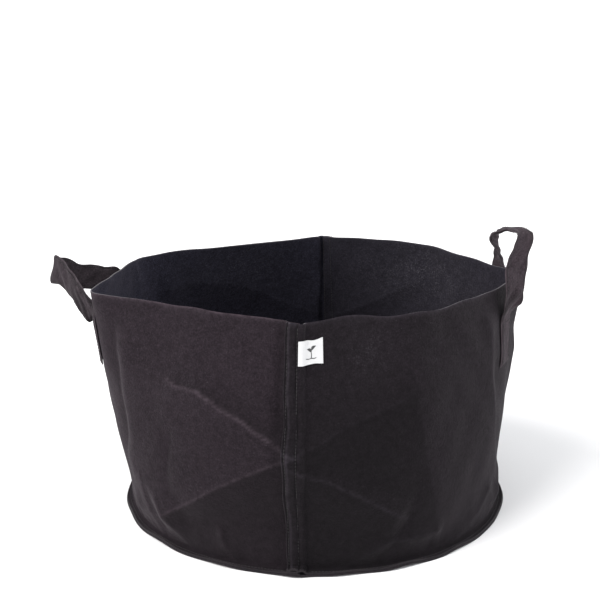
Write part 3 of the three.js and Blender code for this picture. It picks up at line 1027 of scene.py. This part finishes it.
def label_point(x, z, lift):
    """x runs from the seam, z up; the label's corners pull in slightly."""
    v = (z - LABEL_BOTTOM) / (LABEL_TOP - LABEL_BOTTOM)
    slack = 0.0006 * np.sin(pi * np.clip(x / LABEL_WIDE, 0, 1))
    z = z - slack * (v - 0.5) * 2
    z = z + 0.0005 * np.sin(x * 260) * (v > 0.97) - 0.0004 * np.sin(x * 240) * (v < 0.03)
    return on_cloth(x, height_to_run(z), label_lift(x, z) + lift)


def label_piece():
    """A short white ribbon folded on itself, its two raw ends caught in the seam."""
    gap, turn_at = LABEL_GAP, LABEL_START + LABEL_WIDE - LABEL_GAP
    over = [(x, -gap) for x in np.linspace(LABEL_START, turn_at, 34)]
    over += [(turn_at + gap * sin(a), -gap * cos(a)) for a in np.linspace(0, pi, 7)[1:-1]]
    over += [(x, gap) for x in np.linspace(turn_at, LABEL_START, 34)]
    over = np.array(over)
    stations = np.r_[0, np.cumsum(np.hypot(*np.diff(over, axis=0).T))]
    heights = np.linspace(LABEL_BOTTOM, LABEL_TOP, 36)

    def place(columns, rows):
        x, lift = over[columns, 0], over[columns, 1]
        return label_point(x, heights[rows], lift * label_bulge(x - LABEL_START))

    return lay_out("label_ribbon", stations, heights, place, 0.00022, RIBBON, RIBBON)


def leaf(bm, root, angle, length, width):
    """A leaf shape on the label's own flat plan, its two ends pointed."""
    made = bmesh.ops.create_grid(bm, x_segments=10, y_segments=3, size=0.5)["verts"]
    bend = 0.18 * length * (1 if angle < pi / 2 else -1)
    tip = 0.02  # share of the width left at each end
    for v in made:
        t, s = v.co.x + 0.5, v.co.y * 2
        girth = max(sin(pi * t ** 0.8) ** 0.9, tip) if 0 < t < 1 else tip
        x, y = t * length, s * width / 2 * girth + bend * sin(pi * t)
        v.co = (root[0] + x * cos(angle) - y * sin(angle), root[1] + x * sin(angle) + y * cos(angle), 0)


def stroke(bm, points, width):
    """A thin drawn line on the label's plan."""
    made = bmesh.ops.create_grid(bm, x_segments=14, y_segments=1, size=0.5)["verts"]
    end = len(points) - 1
    for v in made:
        share = (v.co.x + 0.5) * end
        near = np.array([max(share - 0.05, 0.0), share, min(share + 0.05, end)])
        before, here, after = spline(points, near)
        a = atan2(after[1] - before[1], after[0] - before[0])
        side = v.co.y * width
        v.co = (here[0] - side * sin(a), here[1] + side * cos(a), 0)


def label_print():
    """A small sprout: a stem, two leaves and the ground it stands on."""
    bm = bmesh.new()
    stroke(bm, [(0.0150, 0.0070), (0.0154, 0.0105), (0.0150, 0.0140), (0.0152, 0.0170)], 0.0010)
    stroke(bm, [(0.0085, 0.0072), (0.0115, 0.0064), (0.0150, 0.0070), (0.0190, 0.0066), (0.0215, 0.0073)],
           0.0009)
    leaf(bm, (0.0152, 0.0165), radians(38), 0.0075, 0.0036)
    leaf(bm, (0.0150, 0.0145), radians(146), 0.0068, 0.0034)
    co = np.array([v.co[:] for v in bm.verts])
    on_ribbon = LABEL_GAP * label_bulge(co[:, 0]) + 0.00020
    placed = label_point(co[:, 0] + LABEL_START, co[:, 1] + LABEL_BOTTOM, on_ribbon)
    for v, p in zip(bm.verts, placed):
        v.co = p
    obj = show("label_sprout", as_mesh("label_sprout", bm), INK)
    solid = obj.modifiers.new("ink", "SOLIDIFY")
    solid.thickness = 0.00012
    solid.offset = 0
    bake(obj)
    return obj


# ---------------------------------------------------------------- putting it together

right_wall = wall_panel("wall_right_cloth", 0.0, SHADED_BLUE_FELT, INSIDE_RIGHT_PAINTED_LIT)
left_wall = wall_panel("wall_left_cloth", HALF, LIT_BROWN_FELT, INSIDE_LEFT_PAINTED_LIT)
base = base_panel()
for piece, node, slot in ((right_wall, "wall_panel_right", "wall_felt"),
                          (left_wall, "wall_panel_left", "wall_felt"),
                          (base, "base_panel", "base_felt")):
    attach(piece, "bag")
    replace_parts(piece, node)

for seam, start in (("front", 0.0), ("back", HALF)):
    for row, distance in zip(("edge", "inner"), ROWS):
        sewn = bmesh.new()
        for inside in (False, True):
            sew(sewn, *seam_row(start, distance, inside))
        piece = stitched(f"{seam}_seam_{row}_stitches", sewn)
        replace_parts(piece, f"{seam}_seam_thread_{row}")
sewn = bmesh.new()
sew(sewn, *base_row())
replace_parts(stitched("base_seam_stitches", sewn), "base_seam_thread")

for side, loop, front, rear, hands, curl, finish in (
        ("left", LEFT_LOOP, -0.320, -0.447, (1.0, -1.0), -0.0015, STRAP_LEFT_PAINTED_SHADE),
        ("right", RIGHT_LOOP, 0.341, 0.470, (1.0, 1.0), 0.0020, STRAP_RIGHT_PAINTED_LIT)):
    strap = Strap(loop, front, rear, hands, curl)
    body = f"handle_{side}"
    band = strap_piece(f"{body}_strap", strap, finish)
    stitches = strap_stitches(f"{body}_stitches", strap)
    for piece in (band, stitches):
        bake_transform(piece)
    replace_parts(band, f"{body}_front_tab", f"{body}_rear_tab", f"{body}_loop")
    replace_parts(stitches, f"{body}_front_thread", f"{body}_rear_thread")

ribbon = label_piece()
sprout = label_print()
for piece in (ribbon, sprout):
    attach(piece, "label")
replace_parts(ribbon, "label_tag")


# ---------------------------------------------------------------- floor, light and camera

def floor_finish():
    material, tree, shader = new_finish("floor_white")
    place = make(tree, "TexCoord").outputs["Object"]
    soft = grain(tree, place, 3, 2, 0.5)
    tone = blend_colour(tree, soft, (0.84, 0.84, 0.84), (0.87, 0.87, 0.87))
    tree.links.new(tone, shader.inputs["Base Color"])
    shader.inputs["Roughness"].default_value = 0.9
    return material


ground = bmesh.new()
bmesh.ops.create_grid(ground, x_segments=1, y_segments=1, size=24)
show("floor", as_mesh("floor", ground), floor_finish())


def soft_sun(name, azimuth, elevation, power, softness, tone):
    """A broad, distant studio light. azimuth 0 is in front of the front seam and 90 is to its right."""
    data = bpy.data.lights.new(name, "SUN")
    data.energy = power
    data.angle = radians(softness)
    data.color = tone
    lamp = bpy.data.objects.new(name, data)
    bpy.context.scene.collection.objects.link(lamp)
    a, e = radians(azimuth), radians(elevation)
    toward = Vector((sin(a) * cos(e), -cos(a) * cos(e), sin(e)))
    lamp.rotation_euler = toward.to_track_quat("Z", "Y").to_euler()


soft_sun("key", -56, 40, 4.2, 45, (1.0, 0.985, 0.975))
soft_sun("fill", 96, 30, 1.8, 60, (0.98, 0.98, 1.0))

world = bpy.data.worlds.new("studio")
bpy.context.scene.world = world
world.use_nodes = True
backdrop = world.node_tree.nodes["Background"]
backdrop.inputs["Color"].default_value = (0.97, 0.98, 1, 1)
# the wall behind the floor is brighter than the ceiling
sky = world.node_tree
skyward = make(sky, "SeparateXYZ", {"Vector": make(sky, "TexCoord").outputs["Generated"]}).outputs["Z"]
sky.links.new(scaled(sky, skyward, 0.02, 0.30, 1.1, 0.82), backdrop.inputs["Strength"])
bpy.context.scene.view_settings.view_transform = "Standard"

lens = bpy.data.cameras.new("camera")
lens.lens = 75
lens.sensor_width = 36
camera = bpy.data.objects.new("camera", lens)
bpy.context.scene.collection.objects.link(camera)
camera.location = (0.1102, -1.6172, 0.728)
# in degrees: below level, round the bag, and past its middle
camera_dip, camera_round, camera_aside = 15.65, 3.9, 0.724
camera.rotation_euler = (radians(90 - camera_dip), 0, radians(camera_round + camera_aside))
bpy.context.scene.camera = camera
